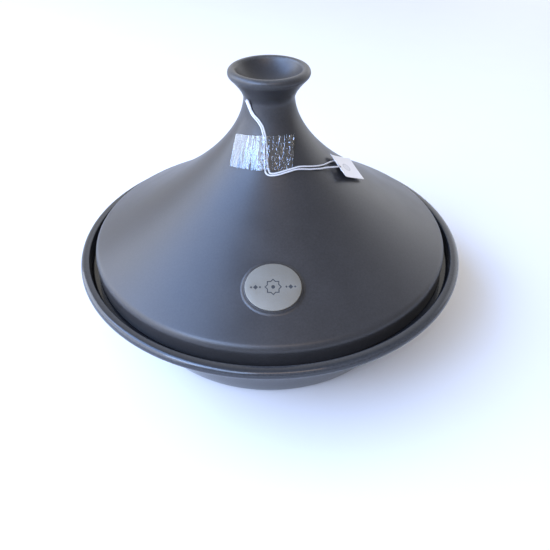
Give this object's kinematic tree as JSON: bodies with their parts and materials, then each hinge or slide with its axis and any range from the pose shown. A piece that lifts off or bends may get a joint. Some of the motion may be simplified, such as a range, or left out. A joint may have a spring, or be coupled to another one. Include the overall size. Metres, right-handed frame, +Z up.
{
  "type": "tagine pot",
  "caption": "Round shallow stoneware cooking dish with a tall hollow conical lid that lifts off by a cup-topped knob, with an oval badge and a string tag taped to the lid.",
  "frame": {"origin": "centre of the flat foot, on the surface that the dish stands on", "axes": "+Z up along the axis of the dish and lid; the badge on the lid faces -Y; +X is to the right of the badge"},
  "size_m": [0.32, 0.32, 0.214],
  "materials": {
    "dish_glaze": "satin",
    "lid_glaze": "satin",
    "badge_metal": "satin",
    "badge_enamel": "satin",
    "adhesive": "matte",
    "cotton_string": "matte",
    "tag_card": "matte",
    "clear_tape": "gloss"
  },
  "bodies": {
    "dish": {"dish": "dish_glaze"},
    "lid": {"lid": "lid_glaze", "badge_plate": "badge_metal", "badge_enamel": "badge_enamel", "badge_adhesive": "adhesive", "tag_string": "cotton_string", "tag_card": "tag_card", "clear_tape": "clear_tape"}
  },
  "joints": [
    {"name": "lid_lift", "type": "slide", "parent": "dish", "child": "lid", "axis": [0, 0, 1], "range_m": [0, 0.15]}
  ]
}
